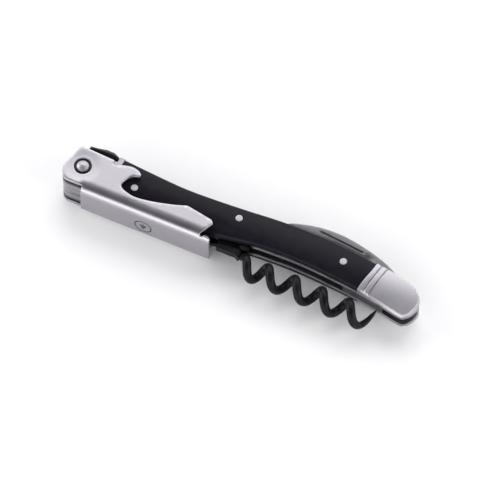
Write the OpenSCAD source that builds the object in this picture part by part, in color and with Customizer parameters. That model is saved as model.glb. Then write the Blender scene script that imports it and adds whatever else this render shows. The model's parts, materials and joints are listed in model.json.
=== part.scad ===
// Waiter's corkscrew, folded. Millimetres, front face up (+Z), tail towards +X, back edge towards +Y.
// The drawing frame has its zero at the lever pivot, in the middle plane of the handle.

/* [Handle] */
// Width of the open slot between the two liners
slot_w = 3.2; // [3.0:0.1:3.6]
// Thickness of one liner plate
liner_t = 1.2; // [1.0:0.1:1.2]
// Thickness of a scale or bolster at its crown
scale_t = 2.6; // [2.4:0.1:2.6]
// Radius of the crowned grip across the handle
crown_r = 22; // [20:1:30]
// Height on the handle where the crown is highest
crown_y = 2.6; // [2:0.1:3.5]
// Reach of the head past the lever pivot
head_reach = 5.8; // [5.5:0.1:6.0]
// Where the head bolster ends and the scale starts
scale_start = 10.9; // [10.5:0.1:11.5]
// Radius of the flush pins in the scales
scale_pin_r = 1.2; // [1.1:0.05:1.35]

/* [Lever] */
// Overall width of the lever channel
lever_w = 14.6; // [14.5:0.1:15.2]
// Thickness of the lever sheet
lever_t = 1.3; // [1.1:0.1:1.3]
// Outer face of the web below the pivot
web_y = -8.4; // [-8.8:0.1:-8.4]
// Left end of the web
web_start = 2.8; // [2.6:0.1:4]
// Right end of the web, the bottle lip foot
web_end = 48.8; // [46.5:0.1:48.8]
// Outer radius of the bend between cheek and web
bend_r = 2.6; // [2:0.1:2.8]
// Radius of the lever rivet
rivet_r = 2.0; // [1.8:0.1:2.0]
// Outer radius of the bushes that the lever turns on
bush_r = 2.85; // [2.7:0.05:2.9]

/* [Worm] */
// Radius of the worm wire
wire_r = 1.48; // [1.3:0.02:1.48]
// Outer radius of the coil
coil_r = 4.45; // [4.2:0.05:4.45]
// Length of one turn
pitch = 9.65; // [9:0.05:9.8]
// Number of turns
turns = 5; // [4:1:5]
// Fall of the worm away from the belly, in degrees
worm_fall = 1.8; // [1.4:0.1:2]

/* [Blade] */
// Thickness of the blade
blade_t = 2.1; // [1.8:0.1:2.2]
// Radius of the blade pin
blade_pin_r = 1.5; // [1.3:0.1:1.5]

/* [Fits] */
// Radial play of a turning pin
run_gap = 0.05; // [0.03:0.01:0.08]
// Radial play of a fixed pin
fix_gap = 0.02; // [0.01:0.01:0.03]

/* [Hidden] */
$fn = 96;

// Levels above the middle plane
liner_in = slot_w / 2;
liner_out = liner_in + liner_t;
crown_z = liner_out + scale_t;
cheek_out = lever_w / 2;
cheek_in = cheek_out - lever_t;
washer_t = 0.5;
washer_r = 4.6;

// Pivots in the drawing frame
worm_pin = [59.3, -3.4];
worm_pin_r = 0.8;
worm_lug_r = 1.6;
blade_pin = [107, 2.5];
// The first and last scale pins go right through, the middle one stops short of the worm's slot
through_pin_at = [[18.2, 0.6], [91.2, 3.4]];
short_pin_at = [53.9, 4.2];
bolster_rivet_at = [[9.9, 6.4], [9.6, -4.2], [103.2, -2.2], [114.6, 0.4]];
bolster_rivet_r = 0.8;

// Middle of the folded tool's box in the drawing frame, which puts the origin at the bottom centre
middle = [56.8, 0];

// Tools for outlines
function unit(v) = v / norm(v);
function turn_to(a) = a > 180 ? a - 360 : a < -180 ? a + 360 : a;
function direction(v) = atan2(v[1], v[0]);
// Points of the arc that rounds corner b of the path a, b, c
function corner(a, b, c, r) =
    let(u = unit(a - b), w = unit(c - b), half = acos(u * w) / 2,
        centre = b + unit(u + w) * r / sin(half),
        from = direction(b + u * r / tan(half) - centre),
        sweep = turn_to(direction(b + w * r / tan(half) - centre) - from),
        steps = max(2, ceil(abs(sweep) / 12)))
    [for (i = [0:steps]) centre + r * [cos(from + sweep * i / steps), sin(from + sweep * i / steps)]];
function flat(p) = [p[0], p[1]];
// Outline through [x, y, radius] points, where a radius of zero keeps a sharp corner
function rounded(p) = let(n = len(p))
    [for (i = [0:n - 1]) each p[i][2] > 0
        ? corner(flat(p[(i + n - 1) % n]), flat(p[i]), flat(p[(i + 1) % n]), p[i][2]) : [flat(p[i])]];
// Smooth open curve through its points, as [x, y, 0] for use in rounded()
function spline_point(a, b, c, d, t) =
    0.5 * (2 * b + (c - a) * t + (2 * a - 5 * b + 4 * c - d) * t * t + (3 * b - a - 3 * c + d) * t * t * t);
function smooth(p, steps = 4) = let(n = len(p))
    [for (i = [0:n - 2], k = [0:(i == n - 2 ? steps : steps - 1)])
        let(before = p[max(i - 1, 0)], after = p[min(i + 2, n - 1)],
            q = spline_point(before, p[i], p[i + 1], after, k / steps)) [q[0], q[1], 0]];
function circle_points(c, r, a0, a1, steps) =
    [for (i = [0:steps]) let(a = a0 + (a1 - a0) * i / steps) [c[0] + r * cos(a), c[1] + r * sin(a), 0]];

// Long edges of the handle, from the head to the tail
back_edge = [[8.9, 9.75], [11.4, 9.6], [19.4, 8.8], [29.4, 7.95], [36, 7.75], [44.4, 8.05], [54.4, 8.7],
             [64.4, 9.6], [74, 10], [84.4, 9.8], [94.4, 8.7], [101.4, 7.5]];
tail_edge = [[101.4, 7.5], [105.5, 6.9], [109.5, 6.05], [114.4, 4.6], [117.2, 3.3], [118.8, 1.6],
             [119.5, -0.4], [119.3, -2.4], [118.4, -4.6], [116.9, -6.2], [115.1, -6.65], [109, -5.5],
             [104, -4.6], [99.2, -3.75]];
belly_edge = [[99.2, -3.75], [94, -3.2], [84, -2.3], [75, -1.9], [64, -2.2], [54, -3.5], [47, -4.5],
              [40, -5.2], [30, -6], [20, -6.5], [10.9, -6.6], [6, -6.4]];
head_end = [[1 - head_reach, -6.4, 3.2], [-head_reach, -2.2, 5.5], [1.9 - head_reach, 6, 1.8]];
head_top = [[6.6, 6, 1.2], [8.9, 7.6, 0]];
junction = smooth([[101.4, 7.5], [100.9, 4], [99.9, 0], [99.2, -3.75]], 4);

module place() {
    translate([-middle[0], -middle[1], cheek_out]) children();
}
module slab(z0, z1) {
    translate([0, 0, z0]) linear_extrude(z1 - z0) children();
}
module pin(at, r, z0, z1) {
    translate([at[0], at[1], z0]) cylinder(r = r, h = z1 - z0);
}
// Everything under the crowned surface of the grip
module under_crown(top = crown_z) {
    translate([-10, crown_y, top - crown_r]) rotate([0, 90, 0]) cylinder(r = crown_r, h = 140);
}
module front_or_back(side) {
    mirror([0, 0, side < 0 ? 1 : 0]) children();
}

// Handle outlines
module liner_outline() {
    lug = circle_points(worm_pin, worm_lug_r, 0, -180, 14);
    lug_at = worm_pin[0];
    polygon(rounded(concat(head_end, head_top, smooth(back_edge), smooth(tail_edge),
        smooth([for (p = belly_edge) if (p[0] > lug_at) p]), [[lug_at + worm_lug_r, -2.5, 0]], lug,
        [[lug_at - worm_lug_r, -2.95, 0]], smooth([for (p = belly_edge) if (p[0] < lug_at) p]))));
}
module scale_outline() {
    polygon(rounded(concat([[scale_start, 9.63, 0]],
        smooth([for (p = back_edge) if (p[0] > scale_start) p]), junction,
        smooth([for (p = belly_edge) if (p[0] >= scale_start) p]))));
}
module tail_outline() {
    polygon(rounded(concat(smooth(tail_edge), [for (i = [len(junction) - 1:-1:0]) junction[i]])));
}
module head_outline() {
    polygon(rounded(concat(head_end, head_top,
        [[8.9, 9.75, 0], [scale_start, 9.63, 0], [scale_start, -6.6, 0], [6, -6.4, 0]])));
}
module handle_holes(z0, z1) {
    pin([0, 0], rivet_r + fix_gap, z0, z1);
    for (at = concat(through_pin_at, [short_pin_at])) pin(at, scale_pin_r + fix_gap, z0, z1);
    for (at = bolster_rivet_at) pin(at, bolster_rivet_r + fix_gap, z0, z1);
    pin(blade_pin, blade_pin_r + fix_gap, z0, z1);
}

// Fixed parts of the handle
module liner(side) {
    color("dimgray") place() front_or_back(side) difference() {
        slab(liner_in, liner_out) liner_outline();
        handle_holes(liner_in - 1, liner_out + 1);
        pin(worm_pin, worm_pin_r + fix_gap, liner_in - 1, liner_out + 1);
    }
}
module front_liner() { liner(1); }
module back_liner() { liner(-1); }

module grip_scale(side) {
    color([0.10, 0.10, 0.12]) place() front_or_back(side) difference() {
        intersection() {
            slab(liner_out, crown_z) scale_outline();
            under_crown();
        }
        for (at = concat(through_pin_at, [short_pin_at])) pin(at, scale_pin_r + fix_gap, 0, crown_z + 1);
    }
}
module front_scale() { grip_scale(1); }
module back_scale() { grip_scale(-1); }

module head_bolster(side) {
    rivet_top = liner_out + 1.4;
    color("silver") place() front_or_back(side) difference() {
        intersection() {
            slab(liner_out, crown_z) head_outline();
            union() {
                translate([-10, -10, 0]) cube([17.6, 20, crown_z]);
                under_crown();
            }
        }
        pin([0, 0], rivet_r + fix_gap, 0, crown_z + 1);
        for (i = [0, 1]) pin(bolster_rivet_at[i], bolster_rivet_r + fix_gap, 0, rivet_top);
    }
}
module front_head_bolster() { head_bolster(1); }
module back_head_bolster() { head_bolster(-1); }

// Collar of the tail bolster: two flat strips, each followed by a groove
module tail_groove(x) {
    translate([x, -8, crown_z - 0.35]) rotate([0, 0, -11]) cube([0.5, 20, 1]);
}
module tail_bolster(side) {
    rivet_top = liner_out + 1.4;
    color("gainsboro") place() front_or_back(side) difference() {
        intersection() {
            slab(liner_out, crown_z + 0.1) tail_outline();
            under_crown(crown_z + 0.1);
        }
        tail_groove(100.1);
        tail_groove(102.2);
        pin(blade_pin, blade_pin_r + fix_gap, 0, rivet_top);
        for (i = [2, 3]) pin(bolster_rivet_at[i], bolster_rivet_r + fix_gap, 0, rivet_top);
    }
}
module front_tail_bolster() { tail_bolster(1); }
module back_tail_bolster() { tail_bolster(-1); }

// Spring: full height at the head, a band along the back, a tongue under the blade
// and a stop block at the tail
spring_half = slot_w / 2 - 0.02;
tang_reach = 9.3;
spring_relief_r = tang_reach + 0.25;
thumb_start = -2.2;
thumb_end = 8.6;
thumb_y = 9.4;
module back_spring() {
    top_band = smooth([for (p = back_edge) if (p[0] < 60 && p[0] > 10) p], 3);
    relief = circle_points(worm_pin, spring_relief_r, 86, 152, 14);
    low_edge = [[46.6, 2.6], [40, 3.2], [34, 2.6], [28, 0.9], [20, -2.2], [12, -4.8], [5, -6.0]];
    color("lightslategray") place() difference() {
        slab(-spring_half, spring_half) polygon(rounded(concat(
            head_end, [[thumb_start, 6, 0.3], [thumb_start, thumb_y, 0.5], [thumb_end, thumb_y, 0]],
            top_band,
            [[61.6, 9.25, 1], [63.4, 5.6, 1.6], [68, 5.05, 0], [97.6, 5.05, 0.8], [99.2, 2.6, 0.8],
             [103, 1.9, 0.4], [103.2, -1.2, 0.8], [105.4, -3.9, 1.5], [108.8, -5.1, 0.1], [108.9, -5.4, 0],
             [104, -4.52, 0], [99.2, -3.67, 0], [94, -3.1, 0.8], [90.4, 1.3, 2], [80, 2.4, 4], [67, 3, 2],
             [61.2, 3.4, 1.2]],
            relief, smooth(low_edge, 3))));
        pin([0, 0], rivet_r + fix_gap, -3, 3);
        for (at = through_pin_at) pin(at, scale_pin_r + fix_gap, -3, 3);
    }
}
module thumb_rest() {
    wide = 2.75;
    top = 11.4;
    color("slategray") place() slab(-wide, wide)
        polygon(rounded([[thumb_start, thumb_y, 0], [thumb_start, top - 0.9, 0.6], [0.6, top - 0.6, 3],
                         [3.4, top, 3], [6, top, 2.5], [8.4, top - 1.1, 0.7], [thumb_end - 0.1, thumb_y, 0]]));
}

// Pins and washers of the handle
module scale_pins() {
    color("white") place() {
        for (at = through_pin_at) intersection() {
            pin(at, scale_pin_r, -crown_z, crown_z);
            under_crown();
            mirror([0, 0, 1]) under_crown();
        }
        for (side = [-1, 1]) front_or_back(side) intersection() {
            pin(short_pin_at, scale_pin_r, liner_in, crown_z);
            under_crown();
        }
    }
}
module bolster_rivets() {
    rivet_top = liner_out + 1.3;
    color("gray") place() for (at = bolster_rivet_at, side = [-1, 1])
        front_or_back(side) pin(at, bolster_rivet_r, liner_in, rivet_top);
}
module lever_pivot_pin() {
    dome_r = 2.7;
    dome_h = 0.85;
    color("gainsboro") place() intersection() {
        pin([0, 0], rivet_r, -cheek_out, cheek_out + dome_h);
        translate([0, 0, cheek_out + dome_h - dome_r]) union() {
            sphere(r = dome_r);
            translate([0, 0, -20]) cylinder(r = dome_r, h = 20);
        }
    }
}
module ring(r_out, r_in, z0, z1) {
    difference() {
        pin([0, 0], r_out, z0, z1);
        pin([0, 0], r_in, z0 - 1, z1 + 1);
    }
}
// The front bush is stepped, so that a groove runs round the rivet's head
module front_pivot_bush() {
    collar_r = bush_r - 0.5;
    step_z = cheek_in + 0.6;
    color("silver") place() union() {
        ring(bush_r, rivet_r + fix_gap, crown_z + washer_t, step_z);
        ring(collar_r, rivet_r + fix_gap, step_z, cheek_out + 0.05);
    }
}
module back_pivot_bush() {
    color("silver") place() ring(bush_r, rivet_r + fix_gap, -cheek_out, -crown_z - washer_t);
}
module front_friction_washer() {
    color("gray") place() ring(washer_r, rivet_r + fix_gap, crown_z, crown_z + washer_t);
}
module back_friction_washer() {
    color("gray") place() ring(washer_r, rivet_r + fix_gap, -crown_z - washer_t, -crown_z);
}
module worm_pivot_pin() {
    color("gray") place() pin(worm_pin, worm_pin_r, -liner_out, liner_out);
}
module blade_pivot_pin() {
    color("gray") place() pin(blade_pin, blade_pin_r, -liner_out - 1.3, liner_out + 1.3);
}
module blade_washers() {
    washer_out = 3.4;
    washer_start = blade_t / 2 + 0.05;
    color("goldenrod") place() for (side = [-1, 1]) front_or_back(side)
        translate([blade_pin[0], blade_pin[1], 0])
            ring(washer_out, blade_pin_r + fix_gap, washer_start, liner_in);
}

// Lever: one side outline cut from a U channel
module lever_side() {
    ear = [[-4.9, -6.5, 3.3], [-6, -2.2, 6], [-3.55, 6.95, 0.9], [8.6, 6.3, 0.5], [8.7, 4.75, 0.5]];
    hook = smooth([[9.8, 4.85], [11.8, 5.75], [14.9, 6.4], [17.4, 5.85], [18.7, 4.8]]);
    notch = smooth([[18.5, 3.8], [16.9, 3.3], [15.3, 1.8], [14.35, -0.6], [15.1, -2.1], [17.5, -3.05],
                    [20.9, -3.45], [26.5, -2.6], [32.8, -0.95], [35.8, 0.1]]);
    tip = [[37.2, 0.65, 2.5], [46.5, -1, 0.9], [47.6, -2.2, 0.5], [45.2, -6.7, 0.4], [45.1, -7.6, 0.4],
           [46.2, -7.6, 0.3], [46.4, -7.1, 0]];
    web = [[web_end, -7.1, 0.5], [web_end, web_y, 0], [web_start, web_y, 0], [web_start, -6.5, 0.3]];
    polygon(rounded(concat(ear, hook, notch, tip, web)));
}
module channel() {
    inner = bend_r - lever_t;
    web_in = web_y + lever_t;
    wide = cheek_out;
    narrow = cheek_in;
    rotate([90, 0, 90]) translate([0, 0, -10]) linear_extrude(70) polygon(rounded([
        [8, -wide, 0], [8, -narrow, 0], [web_in, -narrow, inner], [web_in, narrow, inner],
        [8, narrow, 0], [8, wide, 0], [web_y, wide, bend_r], [web_y, -wide, bend_r]]));
}
module lever() {
    hole_r = bush_r + run_gap;
    break_w = 0.2;
    color("lightgray") place() difference() {
        intersection() {
            slab(-cheek_out, cheek_out) lever_side();
            channel();
        }
        pin([0, 0], hole_r, -cheek_out - 1, cheek_out + 1);
        translate([0, 0, cheek_out - break_w])
            cylinder(r1 = hole_r, r2 = hole_r + break_w, h = break_w + 0.01);
    }
}

// Worm: a flat eye between the liners that runs on as a coil
worm_start = 58.8;
first_crest = 68.45;
coil_mean = coil_r - wire_r;
neck_r = 1.2;
axis_mid = [76.6, -9.4];
tang_half = 1.5;
function axis_y(x) = axis_mid[1] - tan(worm_fall) * (x - axis_mid[0]);
module worm_tang() {
    wire_y = axis_y(worm_start) + coil_mean;
    eye_low = wire_y - neck_r - 0.1;
    eye_cut = wire_y + neck_r + 0.03;
    color([0.12, 0.12, 0.14]) place() difference() {
        slab(-tang_half, tang_half) intersection() {
            polygon(rounded([[49, -3.3, 1], [49, -6.5, 1.2], [57.2, -6.5, 1.5], [58.3, eye_low, 0.3],
                             [worm_start, eye_low, 0], [worm_start, eye_cut, 0], [61.2, eye_cut, 0.4],
                             [61.3, -3.2, 1.6], [59.6, -1.3, 1.6], [56.6, -1.6, 2]]));
            translate(worm_pin) circle(r = tang_reach);
        }
        pin(worm_pin, worm_pin_r + run_gap, -3, 3);
    }
}

// Phase of the coil in turns: it starts at rest against the eye and then keeps the pitch
function lead_in(q) = let(end = (first_crest - worm_start) / pitch)
    q * q * (3 - 2 * q) + end * (q * q * q - q * q);
function phase(x) = x < first_crest ? lead_in((x - worm_start) / (first_crest - worm_start))
                                    : 1 + (x - first_crest) / pitch;
worm_tip = first_crest + pitch * (turns - 1) + 0.1;
tip_len = 4.8;
neck_len = 3;
tip_r = 0.15;
function grow(x) = min(1, (x - worm_start) / neck_len);
// The point is ground from the inside, so the outer side stays on the coil's cylinder
function wire_at(x) = let(left = worm_tip - x)
    left < tip_len ? max(tip_r, wire_r * sqrt(max(0, left / tip_len)))
                   : neck_r + (wire_r - neck_r) * grow(x);
function radius_at(x) = worm_tip - x < tip_len ? coil_r - wire_at(x) : coil_mean;
function coil_point(x) =
    let(a = 360 * phase(x)) [x, axis_y(x) + radius_at(x) * cos(a), radius_at(x) * sin(a)];
function coil_dir(x) = x < worm_start + 0.01 ? [1, 0, 0]
                                             : unit(coil_point(x + 0.01) - coil_point(x - 0.01));
module worm() {
    sides = 10;
    rings = 84;
    stations = [for (i = [0:rings]) worm_start + (worm_tip - worm_start) * i / rings];
    points = [for (x = stations) let(c = coil_point(x), t = coil_dir(x),
                  out = unit([0, cos(360 * phase(x)), sin(360 * phase(x))]),
                  u = unit(out - (out * t) * t), v = cross(t, u))
              for (a = [0:360 / sides:359]) c + wire_at(x) * (cos(a) * u + sin(a) * v)];
    color([0.12, 0.12, 0.14]) place() polyhedron(points = points, faces = concat(
        [[for (k = [0:sides - 1]) k]],
        [for (i = [0:rings - 1], k = [0:sides - 1]) let(a = i * sides + k, b = i * sides + (k + 1) % sides)
            each [[a, a + sides, b + sides], [a, b + sides, b]]],
        [[for (k = [sides - 1:-1:0]) rings * sides + k]]), convexity = 12);
}

// Blade: a wedge section with a full thickness ricasso at the pin
module blade_outline() {
    spine = smooth([[64.7, 8.1], [66.6, 10.1], [69.2, 11.75], [73.6, 13.15], [77.9, 14.05], [82.3, 14.45],
                    [86.6, 14.4], [90.9, 13.85], [95.3, 12.95], [98.8, 12.05], [103.6, 10.4],
                    [107.6, 8.4]], 3);
    polygon(rounded(concat(spine, [[110.6, 6.2, 2]], circle_points(blade_pin, 3.6, 20, -110, 12),
        [[103.8, 2.9, 0.8], [99.4, 3.1, 0.6], [98.2, 5.6, 0.5]],
        smooth([[96, 5.5], [84, 5.4], [73, 5.5], [67.6, 6.3], [64.7, 8.1]], 3))));
}
module blade_section() {
    edge = 0.2;
    hollow_x = 98;
    translate([60, 0, 0]) rotate([90, 0, 90]) linear_extrude(hollow_x - 60)
        polygon([[5, -edge], [11.5, -blade_t / 2], [15, -blade_t / 2],
                 [15, blade_t / 2], [11.5, blade_t / 2], [5, edge]]);
    translate([hollow_x, -5, -blade_t / 2]) cube([20, 25, blade_t]);
}
module blade() {
    nick_from = [78.8, 12.7];
    nick_to = [95.4, 11.1];
    color("darkgray") place() difference() {
        intersection() {
            slab(-blade_t / 2, blade_t / 2) blade_outline();
            blade_section();
        }
        pin(blade_pin, blade_pin_r + run_gap, -3, 3);
        translate([nick_from[0], nick_from[1], blade_t / 2 - 0.4])
            rotate([0, 0, direction(nick_to - nick_from)])
                translate([0, -0.45, 0]) cube([norm(nick_to - nick_from), 0.9, 1]);
    }
}

front_liner();
back_liner();
front_scale();
back_scale();
front_head_bolster();
back_head_bolster();
front_tail_bolster();
back_tail_bolster();
back_spring();
thumb_rest();
scale_pins();
bolster_rivets();
lever_pivot_pin();
front_pivot_bush();
back_pivot_bush();
front_friction_washer();
back_friction_washer();
worm_pivot_pin();
blade_pivot_pin();
blade_washers();
lever();
worm_tang();
worm();
blade();
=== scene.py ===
"""Looks of the waiter's corkscrew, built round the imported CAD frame.

Shapes are worked in the drawing frame: millimetres, zero at the lever pivot, X towards the tail,
Y towards the back edge, Z towards the front face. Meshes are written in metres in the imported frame.
"""

import json
import math

import bmesh
import bpy
import numpy as np
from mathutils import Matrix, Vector
from mathutils.geometry import delaunay_2d_cdt

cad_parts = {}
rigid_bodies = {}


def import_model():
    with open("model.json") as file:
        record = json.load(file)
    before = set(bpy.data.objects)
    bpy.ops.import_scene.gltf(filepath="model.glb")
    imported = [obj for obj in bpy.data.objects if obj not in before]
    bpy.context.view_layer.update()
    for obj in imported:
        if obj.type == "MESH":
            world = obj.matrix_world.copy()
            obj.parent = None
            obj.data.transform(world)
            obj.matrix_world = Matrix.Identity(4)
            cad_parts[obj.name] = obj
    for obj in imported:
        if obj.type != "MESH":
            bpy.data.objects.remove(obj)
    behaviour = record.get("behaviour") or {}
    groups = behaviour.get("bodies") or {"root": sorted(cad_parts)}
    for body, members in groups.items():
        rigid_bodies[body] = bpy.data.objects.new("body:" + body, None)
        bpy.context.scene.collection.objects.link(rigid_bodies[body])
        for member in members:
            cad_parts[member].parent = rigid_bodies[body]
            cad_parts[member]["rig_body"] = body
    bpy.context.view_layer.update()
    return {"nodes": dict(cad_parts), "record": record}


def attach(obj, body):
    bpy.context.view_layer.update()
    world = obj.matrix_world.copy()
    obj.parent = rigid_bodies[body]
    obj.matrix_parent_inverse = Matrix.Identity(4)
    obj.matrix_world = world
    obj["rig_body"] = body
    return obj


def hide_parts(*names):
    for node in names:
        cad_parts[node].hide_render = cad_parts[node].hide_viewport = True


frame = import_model()

MM = 0.001

# Heights above the middle plane, and the crown across the grips
LINER_IN = 1.6
LINER_OUT = 2.8
CROWN_Z = 5.4
CROWN_R = 22.0
CROWN_Y = 2.6

# Lever: a channel of sheet whose web runs along the belly
LEVER_W = 14.6
LEVER_T = 1.3
BEND_R = 2.6
WEB_Y = -8.4
WEB_START = 2.8
WEB_END = 48.8

# Pins, bushes and washers
BUSH_R = 2.85
RIVET_R = 2.0
RIVET_PLAY = 0.02
WASHER_R = 4.6
WASHER_T = 0.5
SCALE_PIN_R = 1.2
BOLSTER_RIVET_R = 0.8
WORM_PIN_R = 0.8
BLADE_PIN_R = 1.5
BLADE_WASHER_R = 3.4
RIVET_SINK = 1.3

# Blade and worm
BLADE_T = 2.1
TANG_T = 3.0
WIRE_R = 1.48
COIL_R = 4.45
PITCH = 9.65
TURNS = 5
WORM_FALL = math.radians(1.8)
AXIS_MID = (76.6, -9.4)
WORM_START = 58.8
FIRST_CREST = 68.45
NECK_R = 1.2
NECK_LEN = 3
TIP_LEN = 4.8
TIP_OVER = 0.1
TIP_R = 0.15

# Places of pins in the drawing frame. The three that turn are where the joints are.
THROUGH_PINS = [(18.2, 0.6), (91.2, 3.4)]
SHORT_PIN = (53.9, 4.2)
BOLSTER_RIVETS = [(9.9, 6.4), (9.6, -4.2), (103.2, -2.2), (114.6, 0.4)]
JOINT_AT = {j["name"]: np.array(j["pos_m"]) / MM for j in frame["record"]["behaviour"]["joints"]}
PIVOT = JOINT_AT["lever_pivot"]
WORM_PIN = (JOINT_AT["worm_pivot"] - PIVOT)[:2]
BLADE_PIN = (JOINT_AT["blade_pivot"] - PIVOT)[:2]


# ---------------------------------------------------------------- outlines
KEY_DIGITS = 4
FLAT_WITHIN = 0.003
TINY = 1e-12


def drawn(mesh):
    """The mesh's points in the drawing frame."""
    return np.array([v.co for v in mesh.vertices]) / MM - PIVOT


def loops_at(node, height):
    """Closed outlines of the node's flat faces at this drawing Z, the outer one first."""
    mesh = frame["nodes"][node].data
    points = drawn(mesh)
    keys = [tuple(np.round(p[:2], KEY_DIGITS)) for p in points]
    near = np.abs(points[:, 2] - height) < FLAT_WITHIN
    sides = set()
    for face in mesh.polygons:
        ids = list(face.vertices)
        if all(near[i] for i in ids):
            sides.update((keys[a], keys[b]) for a, b in zip(ids, ids[1:] + ids[:1]))
    following = {a: b for a, b in sides if (b, a) not in sides and a != b}
    loops = []
    while following:
        start = next(iter(following))
        loop = [start]
        here = following.pop(start)
        while here != start:
            loop.append(here)
            here = following.pop(here)
        loops.append(thinned(loop))
    loops.sort(key=lambda p: -abs(area(p)))
    return [turned_to(p, 1 if i == 0 else -1) for i, p in enumerate(loops)]


def section(node, height):
    """Outer outline of the cut through the node at this drawing Z."""
    mesh = frame["nodes"][node].data
    mesh.calc_loop_triangles()
    points = drawn(mesh)
    keys = [tuple(np.round(p, KEY_DIGITS)) for p in points]
    links = {}
    for tri in mesh.loop_triangles:
        cut = []
        for a, b in ((0, 1), (1, 2), (2, 0)):
            i, j = sorted((tri.vertices[a], tri.vertices[b]), key=lambda v: keys[v])
            if (points[i][2] > height) != (points[j][2] > height):
                t = (height - points[i][2]) / (points[j][2] - points[i][2])
                crossing = points[i][:2] + t * (points[j][:2] - points[i][:2])
                cut.append((keys[i], keys[j], tuple(crossing)))
        if len(cut) == 2:
            for near, far in (cut, cut[::-1]):
                links.setdefault(near[:2], []).append(far)
    loops = []
    while links:
        here = next(iter(links))
        loop = []
        while here in links:
            onward = [c for c in links.pop(here) if c[:2] in links]
            if not onward:
                break
            loop.append(onward[0][2])
            here = onward[0][:2]
        if len(loop) > 2:
            loops.append(turned_to(thinned(loop), 1))
    return max(loops, key=lambda p: abs(area(p)))


def thinned(loop, least=0.03):
    """The loop without points that sit almost on the one before."""
    kept = [np.array(loop[0])]
    for p in loop[1:]:
        if np.hypot(*(np.array(p) - kept[-1])) > least:
            kept.append(np.array(p))
    return np.array(kept)


def area(loop):
    """Area inside the loop, positive when it runs anticlockwise."""
    x, y = np.array(loop).T
    return 0.5 * float(np.sum(x * np.roll(y, -1) - y * np.roll(x, -1)))


def turned_to(loop, sign):
    """The loop in the direction that gives its area this sign."""
    return loop if area(loop) * sign > 0 else loop[::-1]


def arc(centre, r, start, end, steps):
    """Points of an arc, with its angles in degrees."""
    angles = np.radians(np.linspace(start, end, steps + 1))
    return [(centre[0] + r * math.cos(a), centre[1] + r * math.sin(a)) for a in angles]


def resampled(loop, step):
    """The loop with no side longer than the step."""
    points = []
    for a, b in zip(loop, np.roll(loop, -1, axis=0)):
        pieces = max(1, math.ceil(np.hypot(*(b - a)) / step))
        points += [a + (b - a) * k / pieces for k in range(pieces)]
    return np.array(points)


def mitres(loop, sharpest=0.4, least=1e-6):
    """Step that moves each point of a loop one unit towards the material, which is on its left."""
    before = loop - np.roll(loop, 1, axis=0)
    before /= np.linalg.norm(before, axis=1)[:, None]
    after = np.roll(before, -1, axis=0)
    left_before = np.stack([-before[:, 1], before[:, 0]], 1)
    left_after = np.stack([-after[:, 1], after[:, 0]], 1)
    middle = left_before + left_after
    middle /= np.maximum(np.linalg.norm(middle, axis=1), least)[:, None]
    return middle / np.maximum(np.sum(middle * left_after, axis=1), sharpest)[:, None]


def distance(points, starts, ends):
    """Distance from each point to the nearest of the segments."""
    best = np.full(len(points), np.inf)
    for a, b in zip(starts, ends):
        along = b - a
        t = np.clip(((points - a) @ along) / max(along @ along, TINY), 0, 1)
        best = np.minimum(best, np.linalg.norm(points - a - t[:, None] * along, axis=1))
    return best


def inside(points, loops):
    """Even-odd test of each point against the loops."""
    odd = np.zeros(len(points), bool)
    x, y = points.T
    for loop in loops:
        for (ax, ay), (bx, by) in zip(loop, np.roll(loop, -1, axis=0)):
            if ay != by:
                crosses = (ay > y) != (by > y)
                odd ^= crosses & (x < ax + (y - ay) * (bx - ax) / (by - ay))
    return odd


def lattice(low, high, cell, row_share=0.866):
    """Triangular lattice of points over a rectangle."""
    rows = np.arange(low[1], high[1], cell * row_share)
    return np.array([(x + (i % 2) * cell / 2, y) for i, y in enumerate(rows)
                     for x in np.arange(low[0], high[0], cell)])


def eased(q):
    """Smooth step from 0 to 1."""
    return q * q * (3 - 2 * q)


# ---------------------------------------------------------------- shapes
FAR_FROM_RIM = 9.0
ROUNDING_STEPS = (20, 40, 60, 90)
RING_CLEARANCE = 0.85
GRID_CLEARANCE = 0.12
LEAST_ROOM = 0.05
UNDER_SHARE = 0.15
FACET_SLOPE = 2.6
FACET_CREASE = 1.25
MERGE_WITHIN = 1e-5
AXIS_R = 0.001
DOME_STEPS = (0.85, 0.7, 0.5, 0.3, 0.15, 0)
WELD_M = 2e-6
SLIVER_M = 1e-6


class Shape:
    """Points in millimetres, faces, and the named numbers that materials read at each point.

    rim is the distance to the outline, along and around run on the surface, and the last number is painted
    shade: it darkens the colour where shade falls.
    """

    def __init__(self, points, faces, rim=None, along=None, around=None, soot=None):
        self.points = np.array(points, float)
        self.faces = [list(f) for f in faces]
        count = len(self.points)
        self.rim = np.full(count, FAR_FROM_RIM) if rim is None else np.array(rim, float)
        self.along = np.zeros(count) if along is None else np.array(along, float)
        self.around = np.zeros(count) if around is None else np.array(around, float)
        self.soot = np.zeros(count) if soot is None else np.array(soot, float)

    def mirrored(self):
        """The same shape on the other side of the middle plane."""
        faces = [f[::-1] for f in self.faces]
        return Shape(self.points * (1, 1, -1), faces, self.rim, self.along, self.around, self.soot)

    def __add__(self, other):
        shift = len(self.points)
        return Shape(np.vstack([self.points, other.points]),
                     self.faces + [[i + shift for i in f] for f in other.faces],
                     np.hstack([self.rim, other.rim]), np.hstack([self.along, other.along]),
                     np.hstack([self.around, other.around]), np.hstack([self.soot, other.soot]))


def rounded_drop(d, width, height):
    """How far a rounded edge falls at distance d from the outline."""
    inward = np.clip(1 - d / width, 0, 1)
    return height * (1 - np.sqrt(1 - inward * inward))


def ground_drop(d, width, height):
    """The same for a steep ground facet, which meets the top in a soft crease."""
    return height * np.clip(1 - d / width, 0, 1) ** FACET_CREASE


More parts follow.
